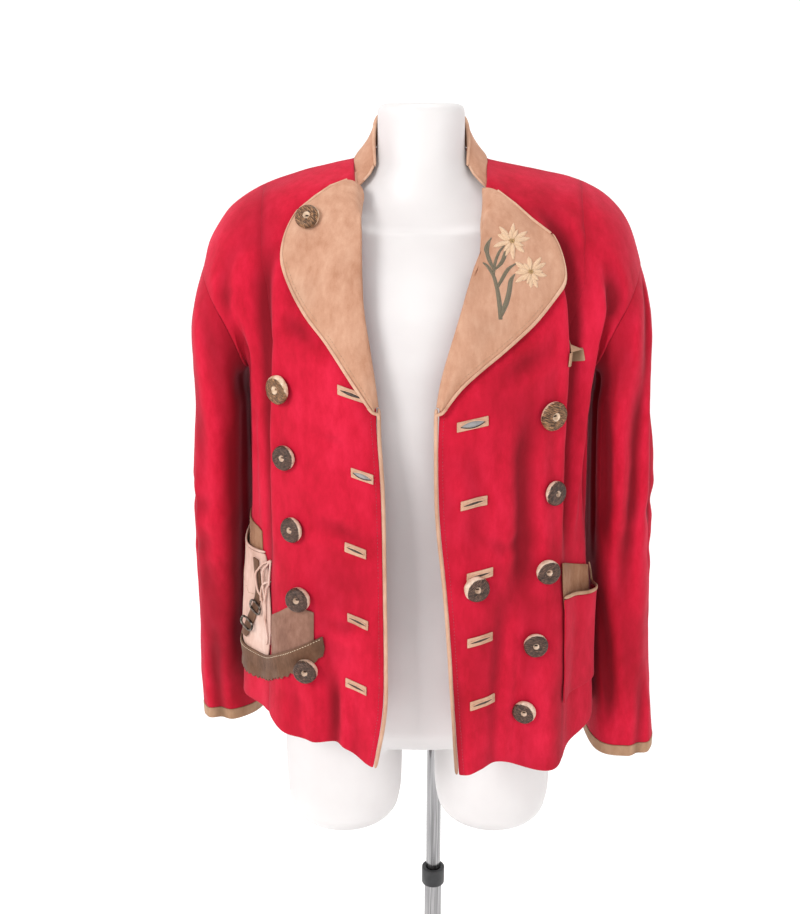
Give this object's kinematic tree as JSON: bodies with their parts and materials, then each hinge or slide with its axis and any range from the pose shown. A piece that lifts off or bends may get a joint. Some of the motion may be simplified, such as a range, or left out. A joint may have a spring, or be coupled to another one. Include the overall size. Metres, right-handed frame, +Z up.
{
  "type": "trachten blazer on dress form",
  "caption": "Suede alpine blazer with tan lapels, patch pockets and horn buttons, worn open on a limbless dress form that stands on a pole and round base.",
  "frame": {"origin": "centre of the underside of the round base plate, below the form's axis", "axes": "+X towards the wearer's left, -Y is the garment's front, +Z up"},
  "size_m": [0.62, 0.36, 1.399],
  "materials": {
    "red_suede": "soft napped suede, worn",
    "tan_suede": "soft napped suede",
    "tan_binding": "smooth rolled suede binding",
    "brown_suede": "dark napped suede",
    "pocket_suede": "mid brown suede",
    "horn": "polished stag horn, half gloss",
    "buckle_metal": "aged metal",
    "form_white": "white moulded shell, half gloss",
    "chrome": "polished",
    "black_clamp": "black, matt",
    "base_metal": "brushed"
  },
  "bodies": {
    "root": {"front_right": "red_suede", "side_right": "red_suede", "front_left": "red_suede", "side_left": "red_suede", "back": "red_suede", "sleeve_right": "red_suede", "cuff_right": "tan_binding", "sleeve_left": "red_suede", "cuff_left": "tan_binding", "collar": "tan_suede", "collar_piping": "tan_binding", "edge_right": "tan_binding", "edge_left": "tan_binding", "lapel_right": "tan_suede", "lapel_piping_right": "tan_binding", "lapel_left": "tan_suede", "lapel_piping_left": "tan_binding", "buttonhole_right_1": "tan_binding", "buttonhole_right_2": "tan_binding", "buttonhole_right_3": "tan_binding", "buttonhole_right_4": "tan_binding", "buttonhole_right_5": "tan_binding", "buttonhole_left_1": "tan_binding", "buttonhole_left_2": "tan_binding", "buttonhole_left_3": "tan_binding", "buttonhole_left_4": "tan_binding", "buttonhole_left_5": "tan_binding", "button_right_1": "horn", "button_right_2": "horn", "button_right_3": "horn", "button_right_4": "horn", "button_right_5": "horn", "button_left_1": "horn", "button_left_2": "horn", "button_left_3": "horn", "button_left_4": "horn", "button_left_5": "horn", "button_left_inner": "horn", "button_lapel": "horn", "breast_welt": "tan_suede", "pocket_left_backing": "tan_suede", "pocket_left": "red_suede", "pocket_left_binding": "tan_binding", "pocket_right_backing": "pocket_suede", "pocket_right": "tan_suede", "pocket_right_piping": "tan_binding", "pocket_right_flap": "pocket_suede", "pocket_right_band": "brown_suede", "pocket_right_strap": "brown_suede", "buckle_upper": "buckle_metal", "buckle_lower": "buckle_metal", "form": "form_white", "pole": "chrome", "stand_tube": "chrome", "height_ring": "black_clamp", "base": "base_metal"}
  },
  "joints": []
}
